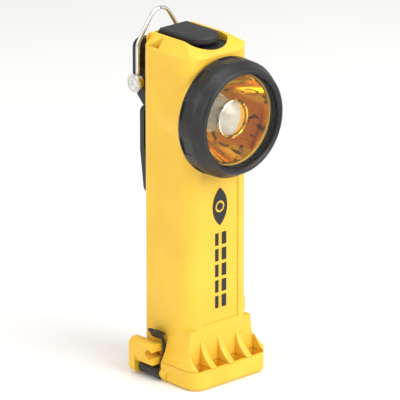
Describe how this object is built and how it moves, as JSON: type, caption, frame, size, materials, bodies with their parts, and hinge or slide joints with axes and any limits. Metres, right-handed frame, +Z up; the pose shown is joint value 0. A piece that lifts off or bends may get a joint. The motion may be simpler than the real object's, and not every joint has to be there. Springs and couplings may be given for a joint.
{
  "type": "firefighter flashlight",
  "caption": "Right-angle hand lamp with a round head, top push switch, spring belt clip, hanging ring and a hinged, latched battery door in a flared ribbed foot.",
  "frame": {"origin": "middle of the body's width and depth, on the flat face the lamp stands on", "axes": "+Z up along the body, the lens looks along -Y, the clip is on +Y, the door latch is on -X"},
  "size_m": [0.0626, 0.0693, 0.1922],
  "materials": {
    "yellow_nylon": "satin moulded nylon",
    "black_nylon": "fine textured black nylon",
    "black_rubber": "matt rubber",
    "stainless": "bright stainless",
    "spring_steel": "drawn wire",
    "clear_lens": "clear polycarbonate",
    "bright_bowl": "vacuum-metallised bowl",
    "frosted_optic": "frosted moulded optic",
    "beige_plastic": "moulded holder",
    "led_yellow": "phosphor",
    "aluminium": "machined",
    "circuit_board": "solder mask",
    "wire_red": "insulated wire",
    "cell_wrap": "shrink wrap",
    "contact_brass": "plated contact",
    "print_black": "pad print"
  },
  "bodies": {
    "torch": {"housing": "yellow_nylon", "head_ring": "black_nylon", "head_o_ring": "black_rubber", "lens": "clear_lens", "lens_gasket": "black_rubber", "reflector": "bright_bowl", "optic": "frosted_optic", "optic_holder": "beige_plastic", "led_board": "aluminium", "led_emitter": "led_yellow", "led_screws": "stainless", "heat_sink": "aluminium", "led_leads": "wire_red", "driver_board": "circuit_board", "driver_parts": "black_nylon", "micro_switch": "black_nylon", "switch_boot": "black_rubber", "switch_spring": "spring_steel", "clip_spring": "spring_steel", "pivot_axle": "stainless", "pivot_screws": "stainless", "hinge_pin": "stainless", "battery_carrier": "black_nylon", "carrier_screws": "stainless", "battery_cells": "cell_wrap", "cell_terminals": "contact_brass", "upper_plate": "black_nylon", "upper_contacts": "contact_brass", "charge_contact": "contact_brass", "badge": "print_black", "label_bars": "print_black"},
    "switch": {"switch_pad": "black_rubber", "switch_plunger": "black_nylon"},
    "belt_clip": {"clip": "black_nylon"},
    "hanging_ring": {"d_ring": "stainless"},
    "door": {"battery_door": "yellow_nylon", "door_seal": "black_rubber", "door_board": "circuit_board", "door_springs": "spring_steel", "latch_pin": "stainless"},
    "latch": {"latch_lever": "black_nylon"}
  },
  "joints": [
    {"name": "switch_press", "type": "slide", "parent": "torch", "child": "switch", "axis": [0, 0, -1], "range_m": [0, 0.0012], "stiffness_N_per_m": 1500, "springref_m": -0.0015, "deforming": ["switch_spring"]},
    {"name": "clip_open", "type": "hinge", "parent": "torch", "child": "belt_clip", "pos_m": [0, 0.027, 0.154], "axis": [1, 0, 0], "range_deg": [0, 18], "stiffness_Nm_per_rad": 0.6, "springref_deg": -11.46},
    {"name": "ring_swing", "type": "hinge", "parent": "torch", "child": "hanging_ring", "pos_m": [0, 0.027, 0.154], "axis": [-1, 0, 0], "range_deg": [-8, 155]},
    {"name": "door_open", "type": "hinge", "parent": "torch", "child": "door", "pos_m": [0.0272, 0, 0.01075], "axis": [0, -1, 0], "range_deg": [0, 105]},
    {"name": "latch_open", "type": "hinge", "parent": "door", "child": "latch", "pos_m": [-0.0252, 0, 0.0042], "axis": [0, -1, 0], "range_deg": [0, 95]}
  ]
}
